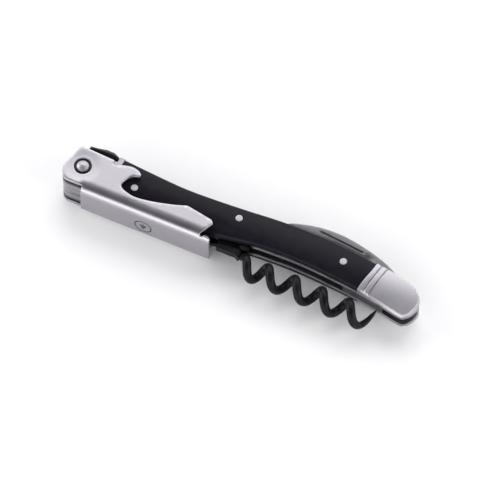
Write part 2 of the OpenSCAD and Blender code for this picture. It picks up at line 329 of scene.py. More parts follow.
def edge_rings(loop, widths, starts, ends):
    """Points on lines just inside a loop, where its rounded edge needs them."""
    rings = []
    for turn in ROUNDING_STEPS:
        depth = widths * (1 - math.cos(math.radians(turn)))
        ring = loop + mitres(loop) * depth[:, None]
        clear = distance(ring, starts, ends) > RING_CLEARANCE * depth
        rings.append(ring[clear])
    return rings


def filled(loops, extra):
    """Flat mesh inside the loops: its points, its triangles and the sides that follow the loops."""
    sides = []
    first = 0
    for loop in loops:
        count = len(loop)
        sides += [(first + i, first + (i + 1) % count) for i in range(count)]
        first += count
    coords = [Vector(p) for p in np.vstack(loops + [extra])]
    found, _, triangles, origins, _, _ = delaunay_2d_cdt(coords, sides, [], 0, MERGE_WITHIN)
    flat = np.array([tuple(p) for p in found])
    index = {source: i for i, sources in enumerate(origins) for source in sources}
    sides = [(index[a], index[b]) for a, b in sides]
    triangles = np.array([t for t in triangles if len(t) == 3])
    well_in = inside(flat[triangles].mean(axis=1), loops)
    outline = set(sides)
    kept = []
    for (i, j, k), inner in zip(triangles.tolist(), well_in):
        ahead = {(i, j), (j, k), (k, i)}
        astern = {(j, i), (k, j), (i, k)}
        if ahead & outline or (inner and not astern & outline):
            kept.append((i, j, k))
    return flat, np.array(kept), sides


def plate(loops, top, bottom, over=0.2, under=0.1, step=0.7, cell=1.6, lines=(), place=None,
          share=0.8, facet=None):
    """Closed solid over the outlines, between two height functions, with rounded edges.

    over is a number, or a function of an outline point that gives the edge's rounding there. Edges
    whose width is facet are ground flat instead of round. lines are extra points where the surface
    needs detail, and place bends the flat solid to its final form. The outline's sides are at most
    step long, and points inside it are a cell apart.
    """
    loops = [resampled(p, step) for p in loops]
    starts = np.vstack(loops)
    ends = np.vstack([np.roll(p, -1, axis=0) for p in loops])
    widths = np.array([over(x, y) if callable(over) else over for x, y in (starts + ends) / 2])
    edges = [(w, starts[widths == w], ends[widths == w]) for w in sorted(set(widths))]

    rings = []
    first = 0
    for loop in loops:
        here = widths[first:first + len(loop)]
        rings += edge_rings(loop, np.minimum(here, np.roll(here, 1)), starts, ends)
        first += len(loop)
    grid = lattice(starts.min(0), starts.max(0), cell)
    if len(lines):
        grid = np.vstack([grid, lines])
    for width, edge_starts, edge_ends in edges:
        grid = grid[distance(grid, edge_starts, edge_ends) > width + GRID_CLEARANCE]
    extra = np.vstack(rings + [grid])
    flat, triangles, sides = filled(loops, extra[inside(extra, loops)])

    x, y = flat.T
    high = top(x, y)
    low = bottom(x, y)
    room = np.maximum(high - low, LEAST_ROOM)
    drop = np.zeros(len(flat))
    for width, edge_starts, edge_ends in edges:
        d = distance(flat, edge_starts, edge_ends)
        if width == facet:
            fall = ground_drop(d, width, np.minimum(FACET_SLOPE * width, share * room))
        else:
            fall = rounded_drop(d, width, np.minimum(width, share * room))
        drop = np.maximum(drop, fall)
    to_rim = distance(flat, starts, ends)
    rise = rounded_drop(to_rim, under, np.minimum(under, UNDER_SHARE * room))
    points = np.vstack([np.stack([x, y, high - drop], 1), np.stack([x, y, low + rise], 1)])
    if place:
        points = place(points)
    count = len(flat)
    faces = [tuple(t) for t in triangles]
    faces += [tuple(t[::-1] + count) for t in triangles]
    faces += [(i + count, j + count, j, i) for i, j in sides]
    across = np.hstack([y, y]) / (2 * math.pi * WIRE_R)
    return Shape(points, faces, rim=np.hstack([to_rim, to_rim]), along=np.hstack([x, x]), around=across)


def level(value):
    """Height function of a flat face."""
    return lambda x, y: np.full(len(x), float(value))


def crown(top=CROWN_Z):
    """Height function of the crowned grip across the handle."""
    return lambda x, y: top - CROWN_R + np.sqrt(np.maximum(CROWN_R ** 2 - (y - CROWN_Y) ** 2, 1))


def lathe(profile, at=(0, 0), turns=64, ring=False):
    """Solid turned about Z through a point. profile is (radius, z), from axis to axis or a closed ring."""
    profile = [(max(r, AXIS_R), z) for r, z in profile]
    count = len(profile)
    points = []
    for i in range(turns):
        a = 2 * math.pi * i / turns
        points += [(at[0] + r * math.cos(a), at[1] + r * math.sin(a), z) for r, z in profile]
    faces = []
    for i in range(turns):
        here = i * count
        after = (i + 1) % turns * count
        for k in range(count if ring else count - 1):
            m = (k + 1) % count
            faces.append((here + k, after + k, after + m, here + m))
    if not ring:
        faces.append([i * count for i in range(turns)][::-1])
        faces.append([i * count + count - 1 for i in range(turns)])
    return Shape(points, faces)


def pin_profile(r, low, high, edge=0.12, dome=0.0):
    """Profile of a pin with rounded ends and, if asked, a domed front end."""
    end_r = r - edge
    shoulder = high - dome - edge
    foot = [(end_r + edge * math.sin(a), low + edge - edge * math.cos(a)) for a in np.radians((30, 60, 90))]
    head = [(end_r + edge * math.cos(a), shoulder + edge * math.sin(a)) for a in np.radians((0, 30, 60, 90))]
    cap = [(end_r * s, high - dome * s * s) for s in DOME_STEPS]
    return [(0, low), (end_r, low)] + foot + head + cap


def ring_profile(outer, inner, low, high, edge=0.08):
    """Profile of a washer or bush with small chamfers."""
    return [(inner, low + edge), (inner + edge, low), (outer - edge, low), (outer, low + edge),
            (outer, high - edge), (outer - edge, high), (inner + edge, high), (inner, high - edge)]


def piece(name, shape, material, nodes, body=None, smooth=38):
    """Adds the shape to the scene as one object that stands for CAD nodes, or only rides on a body."""
    mesh = bpy.data.meshes.new(name)
    points = (shape.points + PIVOT) * MM
    mesh.from_pydata([tuple(p) for p in points], [], shape.faces)
    for label in ("rim", "along", "around", "soot"):
        layer = mesh.attributes.new(label, "FLOAT", "POINT")
        layer.data.foreach_set("value", getattr(shape, label).astype(np.float32))
    work = bmesh.new()
    work.from_mesh(mesh)
    bmesh.ops.remove_doubles(work, verts=work.verts, dist=WELD_M)
    bmesh.ops.dissolve_degenerate(work, edges=work.edges, dist=SLIVER_M)
    bmesh.ops.recalc_face_normals(work, faces=work.faces)
    work.to_mesh(mesh)
    work.free()
    mesh.shade_smooth()
    mesh.set_sharp_from_angle(angle=math.radians(smooth))
    mesh.materials.append(material)
    ob = bpy.data.objects.new(name, mesh)
    bpy.context.scene.collection.objects.link(ob)
    even = ob.modifiers.new("even_normals", "WEIGHTED_NORMAL")
    even.keep_sharp = True
    if nodes:
        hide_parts(*nodes)
    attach(ob, body or frame["nodes"][nodes[0]]["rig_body"])
    return ob


# ---------------------------------------------------------------- materials
# Near-black colour that painted shade mixes into the steels
PAINTED_SHADE_BLACK = (0.012, 0.012, 0.014, 1)
LAVENDER = (0.985, 0.955, 1.03)


class Finish:
    """A procedural material on one Principled shader, with short ways to add the usual texture nodes."""

    def __init__(self, name, **sockets):
        self.material = bpy.data.materials.new(name)
        self.material.use_nodes = True
        self.nodes = self.material.node_tree.nodes
        self.links = self.material.node_tree.links
        self.shader = self.nodes["Principled BSDF"]
        for socket, value in sockets.items():
            self.shader.inputs[socket.replace("_", " ")].default_value = value
        self.place = self.nodes.new("ShaderNodeTexCoord").outputs["Object"]

    def link(self, output, name):
        """Feeds the output into a socket of the shader."""
        self.links.new(output, self.shader.inputs[name])

    def number(self, label):
        """A named number of the mesh, such as the distance to the rim in millimetres."""
        node = self.nodes.new("ShaderNodeAttribute")
        node.attribute_name = label
        return node.outputs["Fac"]

    def stretched(self, size_mm, turn=0.0):
        """Object coordinates scaled so that one unit is the given size along each axis."""
        node = self.nodes.new("ShaderNodeMapping")
        node.vector_type = "TEXTURE"
        node.inputs["Scale"].default_value = [s * MM for s in size_mm]
        node.inputs["Rotation"].default_value = (0, 0, math.radians(turn))
        self.links.new(self.place, node.inputs["Vector"])
        return node.outputs["Vector"]

    def along_wire(self, length_mm, around):
        """Coordinates that run along and round the wire."""
        node = self.nodes.new("ShaderNodeCombineXYZ")
        for i, (label, scale) in enumerate((("along", 1 / length_mm), ("around", around))):
            self.links.new(self.math("MULTIPLY", self.number(label), scale), node.inputs[i])
        return node.outputs["Vector"]

    def noise(self, vector, detail=4.0, rough=0.6, lumpy=0.0):
        """Noise around one half, with its grain as large as one unit of the coordinates."""
        node = self.nodes.new("ShaderNodeTexNoise")
        node.inputs["Scale"].default_value = 1.0
        node.inputs["Detail"].default_value = detail
        node.inputs["Roughness"].default_value = rough
        node.inputs["Distortion"].default_value = lumpy
        self.links.new(vector, node.inputs["Vector"])
        return node.outputs["Fac"]

    def math(self, kind, a, b):
        """Sum or product of two outputs or numbers."""
        node = self.nodes.new("ShaderNodeMath")
        node.operation = kind
        for socket, value in zip(node.inputs, (a, b)):
            if isinstance(value, (int, float)):
                socket.default_value = value
            else:
                self.links.new(value, socket)
        return node.outputs[0]

    def spread(self, value, low, high, to_low, to_high):
        """Maps a number from one span to another, clamped."""
        node = self.nodes.new("ShaderNodeMapRange")
        for socket, number in zip(list(node.inputs)[1:5], (low, high, to_low, to_high)):
            socket.default_value = number
        self.links.new(value, node.inputs[0])
        return node.outputs[0]

    def ramp(self, value, stops):
        """Colour ramp through stops of (position, colour)."""
        node = self.nodes.new("ShaderNodeValToRGB")
        points = node.color_ramp.elements
        while len(points) < len(stops):
            points.new(0.5)
        for point, (at, colour) in zip(points, stops):
            point.position = at
            point.color = (*colour, 1)
        self.links.new(value, node.inputs["Fac"])
        return node.outputs["Color"]

    def with_painted_shade(self, colour, amount):
        """The colour with painted shade: turned near black where the amount is one."""
        node = self.nodes.new("ShaderNodeMix")
        node.data_type = "RGBA"
        node.inputs["B"].default_value = PAINTED_SHADE_BLACK
        self.links.new(amount, node.inputs["Factor"])
        self.links.new(colour, node.inputs["A"])
        return node.outputs["Result"]

    def bump(self, height, strength, depth_mm):
        """Adds a relief on top of any that is there."""
        node = self.nodes.new("ShaderNodeBump")
        node.inputs["Strength"].default_value = strength
        node.inputs["Distance"].default_value = depth_mm * MM
        self.links.new(height, node.inputs["Height"])
        previous = self.shader.inputs["Normal"]
        if previous.is_linked:
            self.links.new(previous.links[0].from_socket, node.inputs["Normal"])
        self.link(node.outputs["Normal"], "Normal")


def steel(name, grey, rough, grain_mm, turn=0.0, spread=0.1, relief=0.02):
    """Steel with a brushed grain, cloudy polish, fine scratches, rims that are rubbed bright, and painted
    shade darkening its colour.
    """
    cloud_mm = (7, 7, 7)
    scratch_mm = (3.5, 0.05, 3.5)
    scratch_turn = 12
    rubbed_width = 0.5
    f = Finish(name, Metallic=1.0)
    grain = f.noise(f.stretched(grain_mm, turn), detail=6, rough=0.65)
    clouds = f.noise(f.stretched(cloud_mm), detail=3)
    scratch = f.noise(f.stretched(scratch_mm, turn + scratch_turn), detail=2, rough=0.8, lumpy=0.4)
    tone = f.math("ADD", f.math("MULTIPLY", grain, 0.6), f.math("MULTIPLY", clouds, 0.4))
    stops = ((0.3, 0.9), (0.5, 1.0), (0.72, 1.08))
    metal = f.ramp(tone, [(at, [grey * share * tint for tint in LAVENDER]) for at, share in stops])
    # Painted shade: the colour is mixed towards near black by the mesh's shade number
    f.link(f.with_painted_shade(metal, f.number("soot")), "Base Color")
    worn = f.spread(f.number("rim"), 0.0, rubbed_width, -0.5 * spread, 0.0)
    rubbed = f.math("ADD", f.spread(tone, 0.3, 0.7, rough - spread / 2, rough + spread / 2), worn)
    f.link(f.math("ADD", rubbed, f.spread(scratch, 0.62, 0.75, 0.0, 0.1)), "Roughness")
    f.bump(grain, 0.35, relief)
    f.bump(scratch, 0.12, relief)
    return f.material


def black_scale():
    """Black moulded grip: satin with a soft mottle, hairline scratches and slightly polished rims."""
    mottle_mm = (4, 2.5, 4)
    pore_mm = (0.22, 0.16, 0.22)
    hair_mm = (6, 0.045, 6)
    hair_turn = -4
    polished_width = 1.4
    f = Finish("scale_black", Metallic=0.0, Specular_IOR_Level=0.09)
    mottle = f.noise(f.stretched(mottle_mm), detail=5)
    pores = f.noise(f.stretched(pore_mm), detail=3, rough=0.7)
    hairs = f.noise(f.stretched(hair_mm, hair_turn), detail=2, rough=0.8, lumpy=0.5)
    f.link(f.ramp(mottle, [(0.3, (0.0075, 0.0065, 0.0100)), (0.7, (0.0125, 0.0110, 0.0165))]), "Base Color")
    polish = f.spread(f.number("rim"), 0.0, polished_width, -0.07, 0.0)
    gloss = f.math("ADD", f.spread(mottle, 0.3, 0.7, 0.3, 0.38), polish)
    f.link(f.math("ADD", gloss, f.spread(hairs, 0.64, 0.76, 0.0, 0.1)), "Roughness")
    f.bump(pores, 0.25, 0.012)
    f.bump(hairs, 0.15, 0.01)
    return f.material


def worm_coating():
    """Black non-stick coat on the wire, with drawing streaks along it."""
    streak_len = 9.0
    streaks_round = 11.0
    speck_mm = (0.3, 0.3, 0.3)
    f = Finish("worm_coating", Metallic=0.0, Specular_IOR_Level=0.12)
    streaks = f.noise(f.along_wire(streak_len, streaks_round), detail=4, rough=0.6)
    specks = f.noise(f.stretched(speck_mm), detail=4, rough=0.7)
    f.link(f.ramp(streaks, [(0.35, (0.004, 0.0037, 0.005)), (0.62, (0.009, 0.0085, 0.011)),
                            (0.75, (0.026, 0.024, 0.030))]), "Base Color")
    drawn_gloss = f.spread(streaks, 0.3, 0.7, 0.24, 0.40)
    f.link(f.math("ADD", drawn_gloss, f.spread(specks, 0.4, 0.7, 0.0, 0.08)), "Roughness")
    f.bump(streaks, 0.35, 0.03)
    f.bump(specks, 0.15, 0.012)
    return f.material


def brass():
    """Washer brass with lathe marks and a light stain."""
    mark_mm = (0.4, 0.4, 0.1)
    stain_mm = (1.6, 1.6, 1.6)
    f = Finish("washer_brass", Metallic=1.0)
    lathe_marks = f.noise(f.stretched(mark_mm), detail=4)
    stain = f.noise(f.stretched(stain_mm), detail=4)
    f.link(f.ramp(stain, [(0.3, (0.46, 0.30, 0.10)), (0.7, (0.68, 0.48, 0.19))]), "Base Color")
    f.link(f.spread(lathe_marks, 0.3, 0.7, 0.28, 0.42), "Roughness")
    f.bump(lathe_marks, 0.3, 0.01)
    return f.material


def etch():
    """Dark matt etching of the plain mark on the web."""
    grit_mm = (0.15, 0.15, 0.15)
    f = Finish("etched_mark", Metallic=0.6)
    grit = f.noise(f.stretched(grit_mm), detail=4)
    f.link(f.ramp(grit, [(0.3, (0.02, 0.02, 0.023)), (0.7, (0.05, 0.05, 0.055))]), "Base Color")
    f.link(f.spread(grit, 0.3, 0.7, 0.45, 0.65), "Roughness")
    f.bump(grit, 0.4, 0.01)
    return f.material


LEVER_STEEL = steel("lever_steel", 0.44, 0.33, (9, 0.12, 0.12), spread=0.12)
BOLSTER_STEEL = steel("bolster_steel", 0.48, 0.52, (0.25, 5, 5), turn=-11, spread=0.1, relief=0.012)
LINER_STEEL = steel("liner_steel", 0.30, 0.34, (6, 0.2, 0.2))
SPRING_STEEL = steel("spring_steel", 0.34, 0.38, (5, 5, 0.15))
# Near-black steel that stands for shade: painted shade on the thumb rest and in the front bush's recess
SHADE_STEEL = steel("dark_steel", 0.045, 0.30, (5, 5, 0.15))
PIN_STEEL = steel("pin_steel", 0.45, 0.48, (0.6, 0.6, 0.6), spread=0.08, relief=0.008)
BLADE_STEEL = steel("blade_steel", 0.17, 0.36, (0.16, 6, 6), turn=8, spread=0.1)
SCALE_BLACK = black_scale()
WORM_BLACK = worm_coating()
BRASS = brass()
ETCH = etch()


# ---------------------------------------------------------------- handle
def on_both_sides(name, shape, material, node):
    """The shape as the front piece and its mirror as the back piece."""
    piece(f"front_{name}", shape, material, [f"front_{node}"])
    piece(f"back_{name}", shape.mirrored(), material, [f"back_{node}"])


def liners():
    """Liner plates, with painted shade darkening them in the gap between the lever's end and the worm's eye.
    """
    gap_start = np.array([49.0, -4.2])
    gap_end = np.array([59.6, -3.6])
    gap_reach = 3.2
    gap_fade = 1.4
    shape = plate(loops_at("front_liner", LINER_OUT), level(LINER_OUT), level(LINER_IN), over=0.1, under=0.12)
    to_gap = distance(shape.points[:, :2], [gap_start], [gap_end])
    # Painted shade, darkest near the gap and fading out over gap_fade
    shape.soot = np.clip((gap_reach - to_gap) / gap_fade, 0, 1)
    on_both_sides("liner_plate", shape, LINER_STEEL, "liner")


def scales():
    """Crowned grips, rounded along their sides and crisp where they meet the bolsters and the pins."""
    rolled = 1.25
    crisp = 0.14
    round_pin = 0.05
    pin_reach = SCALE_PIN_R + 0.2
    head_joint = 10.95
    tail_joint = 99.9
    tail_joint_slope = 0.19
    tail_joint_half = 0.9
    tail_joint_from = 98.7

    def edge(x, y):
        if any(math.hypot(x - px, y - py) < pin_reach for px, py in THROUGH_PINS + [SHORT_PIN]):
            return round_pin
        off_joint = abs((x - tail_joint) - tail_joint_slope * y)
        at_tail = x > tail_joint_from and off_joint < tail_joint_half
        return crisp if x < head_joint or at_tail else rolled

    outlines = loops_at("front_scale", LINER_OUT)
    shape = plate(outlines, crown(), level(LINER_OUT), over=edge, cell=0.9, step=0.6)
    on_both_sides("scale_grip", shape, SCALE_BLACK, "scale")


def head_bolsters():
    """Head caps, flat under the lever and then crowned, with painted shade round the rim and at the grips,
    and the whole cap a little darker.
    """
    flat_end = 7.6
    least_hole = 3 * math.pi
    rim_shade = 0.85
    rim_width = 0.45
    rim_height = 0.6
    rim_end = 4
    even_darkening = 0.12
    joint_shade = 0.3
    joint_from = 8
    joint_fade = 0.8

    def top(x, y):
        return np.where(x < flat_end, CROWN_Z, np.minimum(CROWN_Z, crown()(x, y)))

    outlines = [p for p in loops_at("front_head_bolster", LINER_OUT) if abs(area(p)) > least_hole]
    shape = plate(outlines, top, level(LINER_OUT), over=0.35, cell=0.8, share=0.6)
    x, _, z = shape.points.T
    at_rim = (shape.rim < rim_width) * (z > CROWN_Z - rim_height) * (x < rim_end)
    at_joint = np.clip((x - joint_from) / joint_fade, 0, 1)
    # Painted shade on the upper rim under the ear and towards the grips, over an even darkening of the whole
    # cap
    shape.soot = np.maximum(rim_shade * at_rim + even_darkening, joint_shade * at_joint)
    on_both_sides("head_cap", shape, BOLSTER_STEEL, "head_bolster")


def tail_bolsters():
    """Satin tail caps: two collar strips with a groove after each, then a body with a facet round its end."""
    slant = math.radians(11)
    across = np.array([math.cos(slant), -math.sin(slant)])
    upward = np.array([math.sin(slant), math.cos(slant)])
    foot = np.array([100.1, -8.0])
    proud = 0.1
    groove_w = 0.5
    groove_deep = 0.45
    strip_w = 2.1
    grooves = [0.0, strip_w * math.cos(slant)]
    strip_roll = 0.35
    roll_reach = 0.5
    roll_above = 3.2
    collar_end = -0.6
    collar_edge = 0.14
    back_edge = 0.3
    back_end = 117
    belly_edge = 0.6
    facet = 0.55
    facet_from = 103.6
    detail_at = (-0.5, -0.25, -0.1, 0.0, 0.06, 0.15, 0.25, 0.35, 0.44, 0.5, 0.6, 0.75, 1.0)
    detail_up = np.arange(0.2, 18, 0.45)

    def from_joint(x, y):
        return (x - foot[0]) * across[0] + (y - foot[1]) * across[1]

    def top(x, y):
        u = from_joint(x, y)
        height = crown(CROWN_Z + proud)(x, y)
        for start in grooves:
            v = np.clip(np.abs(u - start - groove_w / 2) / (groove_w / 2), 0, 1)
            height = height - groove_deep * (1 - v ** 3)
        strip = np.minimum(np.abs(u - grooves[0]), np.abs(u - grooves[0] - groove_w))
        rolled = (u < grooves[1]) * (roll_reach - np.clip(strip, 0, roll_reach)) ** 2
        return height - strip_roll * rolled * (height > roll_above)

    def edge(x, y):
        if from_joint(x, y) < collar_end:
            return collar_edge
        if y > 0 and x < back_end:
            return back_edge
        return facet if x > facet_from else belly_edge

    marks = [foot + across * (start + u) + upward * v for start in grooves for u in detail_at
             for v in detail_up]
    outlines = loops_at("front_tail_bolster", LINER_OUT)[:1]
    shape = plate(outlines, top, level(LINER_OUT), over=edge, cell=0.6, step=0.5, lines=np.array(marks),
                  facet=facet)
    on_both_sides("tail_cap", shape, BOLSTER_STEEL, "tail_bolster")


def back_spring():
    """Spring bar between the liners, with painted shade along the belly behind the worm."""
    side_gap = 0.02
    half = LINER_IN - side_gap
    worm_shade = 0.75
    dark_from = 60
    dark_fade = 3
    dark_below = 2.2
    dark_depth = 1.5
    shape = plate(loops_at("back_spring", half), level(half), level(-half), over=0.15, under=0.15, cell=2.4)
    x, y = shape.points[:, :2].T
    behind_worm = np.clip((x - dark_from) / dark_fade, 0, 1) * np.clip((dark_below - y) / dark_depth, 0, 1)
    # Painted shade along the belly behind the worm
    shape.soot = worm_shade * behind_worm
    piece("back_spring_bar", shape, SPRING_STEEL, ["back_spring"])


def thumb_rest():
    """Pad on the head end of the spring, rounded all over, in near-black steel that is painted shade."""
    half = 2.75
    outlines = loops_at("thumb_rest", half)
    shape = plate(outlines, level(half), level(-half), over=0.7, under=0.7, cell=0.7, step=0.3, share=0.14)
    piece("thumb_rest_pad", shape, SHADE_STEEL, ["thumb_rest"])


def pins():
    """Scale pins follow the crown, the others are plain turned pins."""
    proud = 0.02
    soft = 0.08
    side_play = 0.05
    bore_play = 0.02
    sunk = LINER_OUT + RIVET_SINK

    def scale_pin(at, low=None):
        high = float(crown()(np.array([0]), np.array([at[1]]))[0]) + proud
        return lathe(pin_profile(SCALE_PIN_R, -high if low is None else low, high, soft, dome=proud), at)

    short = scale_pin(SHORT_PIN, LINER_IN)
    through = scale_pin(THROUGH_PINS[0]) + scale_pin(THROUGH_PINS[1])
    piece("scale_pin_set", through + short + short.mirrored(), PIN_STEEL, ["scale_pins"])

    rivet = pin_profile(BOLSTER_RIVET_R, LINER_IN, sunk, edge=0.1)
    studs = [lathe(rivet, at, turns=32) for at in BOLSTER_RIVETS]
    side = studs[0] + studs[1] + studs[2] + studs[3]
    piece("bolster_rivet_set", side + side.mirrored(), PIN_STEEL, ["bolster_rivets"])

    worm_pin = lathe(pin_profile(WORM_PIN_R, -LINER_OUT, LINER_OUT), WORM_PIN, turns=32)
    piece("worm_pin_stud", worm_pin, WORM_BLACK, ["worm_pivot_pin"])

    blade_pin = lathe(pin_profile(BLADE_PIN_R, -sunk, sunk), BLADE_PIN, turns=40)
    piece("blade_pin_stud", blade_pin, PIN_STEEL, ["blade_pivot_pin"])
    ring = ring_profile(BLADE_WASHER_R, BLADE_PIN_R + bore_play, BLADE_T / 2 + side_play, LINER_IN)
    washer = lathe(ring, BLADE_PIN, ring=True)
    piece("blade_washer_pair", washer + washer.mirrored(), BRASS, ["blade_washers"])


def pivot_stack():
    """Rivet with a domed head in a stepped bush, and the flat washers that the lever rubs on; the back bush
    and the washers carry painted shade.
    """
    cheek = LEVER_W / 2
    dome = 0.7
    head = 0.85
    gap_shade = 0.7
    bore = RIVET_R + RIVET_PLAY
    soft = 0.08
    bore_soft = 0.06
    lip = 0.05
    ledge_t = 0.6
    collar_w = 0.5
    ledge = cheek - LEVER_T + ledge_t
    collar = BUSH_R - collar_w
    start = CROWN_Z + WASHER_T
    rivet = lathe(pin_profile(RIVET_R - RIVET_PLAY, -cheek, cheek + head, dome=dome), turns=96)
    piece("pivot_rivet", rivet, PIN_STEEL, ["lever_pivot_pin"])
    stepped = [(bore, start), (BUSH_R - soft, start), (BUSH_R, start + soft), (BUSH_R, ledge - soft),
               (BUSH_R - soft, ledge), (collar, ledge), (collar, cheek - lip), (collar - soft, cheek + lip),
               (bore + bore_soft, cheek + lip), (bore, cheek)]
    front = lathe(stepped, turns=96, ring=True)
    # Near-black steel here is painted shade in the recess round the rivet
    piece("front_bush_ring", front, SHADE_STEEL, ["front_pivot_bush"])
    back = lathe(ring_profile(BUSH_R, bore, start, cheek), turns=96, ring=True).mirrored()
    # Painted shade on the back bush, in the gap under the back ear
    back.soot += gap_shade
    piece("back_bush_ring", back, PIN_STEEL, ["back_pivot_bush"])
    washer = lathe(ring_profile(WASHER_R, bore, CROWN_Z, start), turns=96, ring=True)
    # Painted shade on the washers, which sit in the gaps under the cheeks
    washer.soot += gap_shade
    piece("front_washer_disc", washer, LINER_STEEL, ["front_friction_washer"])
    piece("back_washer_disc", washer.mirrored(), LINER_STEEL, ["back_friction_washer"])


# ---------------------------------------------------------------- lever
# The sheet turns sharply near the web and then eases into the cheek. RUN is the way along its middle
# layer from the web's centre line, with the turn and the place that the layer has there.
TIGHT_R = 2.8 - LEVER_T / 2
EASY_R = 9.0 - LEVER_T / 2
TIGHT_TURN = math.radians(76)
FULL_TURN = math.radians(90)
BEND_WIDTH = TIGHT_R * math.sin(TIGHT_TURN) + EASY_R * (1 - math.sin(TIGHT_TURN))
FLAT_HALF = LEVER_W / 2 - LEVER_T / 2 - BEND_WIDTH
BEND_LENGTH = TIGHT_R * TIGHT_TURN + EASY_R * (FULL_TURN - TIGHT_TURN)
FULL_RUN = FLAT_HALF + BEND_LENGTH
RUN = np.linspace(0, 30, 6001)
TURN = np.interp(RUN, [FLAT_HALF, FLAT_HALF + TIGHT_R * TIGHT_TURN, FULL_RUN], [0, TIGHT_TURN, FULL_TURN])
MID_TURN = (TURN[1:] + TURN[:-1]) / 2
MID_Z = np.hstack([0, np.cumsum(np.cos(MID_TURN))]) * RUN[1]
MID_Y = WEB_Y + LEVER_T / 2 + np.hstack([0, np.cumsum(np.sin(MID_TURN))]) * RUN[1]
OUTER_Y = MID_Y - LEVER_T / 2 * np.cos(TURN)
FULL_Y = float(np.interp(FULL_RUN, RUN, MID_Y))
EAR_FADE = 1.2


def bend_share(x):
    """The ears past the web's end are flat, so the bend fades in just before the web starts."""
    return eased(np.clip((x - WEB_START) / EAR_FADE + 1, 0, 1))


def unrolled(y, x=WEB_END):
    """Distance along the sheet from the web's centre line to height y on the outside of the channel."""
    share = bend_share(x)
    return float(np.interp(y, share * OUTER_Y + (1 - share) * (FULL_Y + RUN - FULL_RUN), RUN))


def bent(points):
    """Bends the flat blank (x, distance along the sheet, level in the sheet) into the channel."""
    x, s, t = points.T
    run = np.abs(s)
    turn = np.interp(run, RUN, TURN)
    y = np.interp(run, RUN, MID_Y) - (t - LEVER_T / 2) * np.cos(turn)
    z = np.interp(run, RUN, MID_Z) + (t - LEVER_T / 2) * np.sin(turn)
    share = bend_share(x)
    y = share * y + (1 - share) * (FULL_Y + run - FULL_RUN)
    z = share * z + (1 - share) * (LEVER_W / 2 - LEVER_T + t)
    return np.stack([x, y, np.sign(s) * z], 1)


def lever_blank():
    """Outline of one half of the flat sheet, from the middle of the foot round to the web's start."""
    foot_r = 1.2
    foot_top = unrolled(-7.1)
    notch_low = unrolled(-7.6)
    notch_high = unrolled(-6.7)
    ear_arc = arc((-2.34, -3.2), 3.3, 232, 270, 4)
    ear_low = -6.5
    ear_steps = (3, 2, 1, 0.8, 0.6, 0.4, 0.25)
    cheek_area = 100
    notch_from = 45.1
    notch_to = 46.2
    soft = 0.1
    round_over = 0.2
    foot_soft = 0.4
    ear_corner = 0.3
    bend_top = WEB_Y + BEND_R + 0.02
    cheek = next(p for p in loops_at("lever", LEVER_W / 2) if area(p) > cheek_area)
    above = [p for p in cheek if p[1] > bend_top]
    # The cheek's line starts at its lowest corner on the foot's side
    start = min(range(len(above)), key=lambda i: above[i][1] - 0.2 * above[i][0])
    above = above[start:] + above[:start]
    half = [(WEB_END, 0)]
    half += arc((WEB_END - foot_r, foot_top - foot_r), foot_r, 0, 90, 6)
    half += [(notch_to + foot_soft, foot_top), (notch_to + soft, foot_top - soft)]
    half += [(notch_to, notch_low + soft), (notch_to - round_over, notch_low)]
    half += [(notch_from + round_over, notch_low), (notch_from, notch_low + round_over)]
    half += [(notch_from, notch_high - round_over), (notch_from + soft, notch_high)]
    half += [(p[0], unrolled(p[1], p[0])) for p in above + ear_arc]
    half += [(x, unrolled(ear_low, x)) for x in WEB_START - EAR_FADE * np.array(ear_steps)]
    return half + [(WEB_START, unrolled(ear_low) - ear_corner), (WEB_START, 0)]


def lever():
    """Sheet blank with both cheeks, bent up into a channel. Past a notch the web runs on as the foot."""
    half = lever_blank()
    outline = np.array(half + [(x, -s) for x, s in half[::-1] if s > 0])
    hole_at = unrolled(0)
    hole_r = BUSH_R + 0.05
    hole_edge = 0.2
    sheet_edge = 0.3
    round_steps = 72
    dish_r = 6.6
    dish_slope = 3.0
    dish_deep = 0.10
    dish_rings = np.arange(3.4, 6.9, 0.5)
    bend_step = 0.9
    holes = [np.array(arc((0, side * hole_at), hole_r, 0, -360, round_steps)[:-1]) for side in (1, -1)]

    def edge(x, s):
        return hole_edge if math.hypot(x, abs(s) - hole_at) < BUSH_R + sheet_edge else sheet_edge

    def outside(x, s):
        """A shallow dish is pressed round the rivet."""
        r = np.hypot(x, np.abs(s) - hole_at)
        return LEVER_T - dish_deep * eased(np.clip((dish_r - r) / dish_slope, 0, 1))

    bend_lines = FLAT_HALF + BEND_LENGTH * np.linspace(-0.1, 1.1, 20)
    bends = [(x, side * s) for side in (1, -1) for x in np.arange(WEB_START, WEB_END, bend_step)
             for s in bend_lines]
    dish = [(r * math.cos(a), side * hole_at + r * math.sin(a)) for side in (1, -1)
            for r in dish_rings for a in np.linspace(0, 2 * math.pi, round_steps)]
    shape = plate([outline] + holes, outside, level(0), over=edge, under=0.15, step=0.6, cell=1.5,
                  lines=np.array(bends + dish), place=bent, share=0.5)
    piece("lever_channel", shape, LEVER_STEEL, ["lever"])


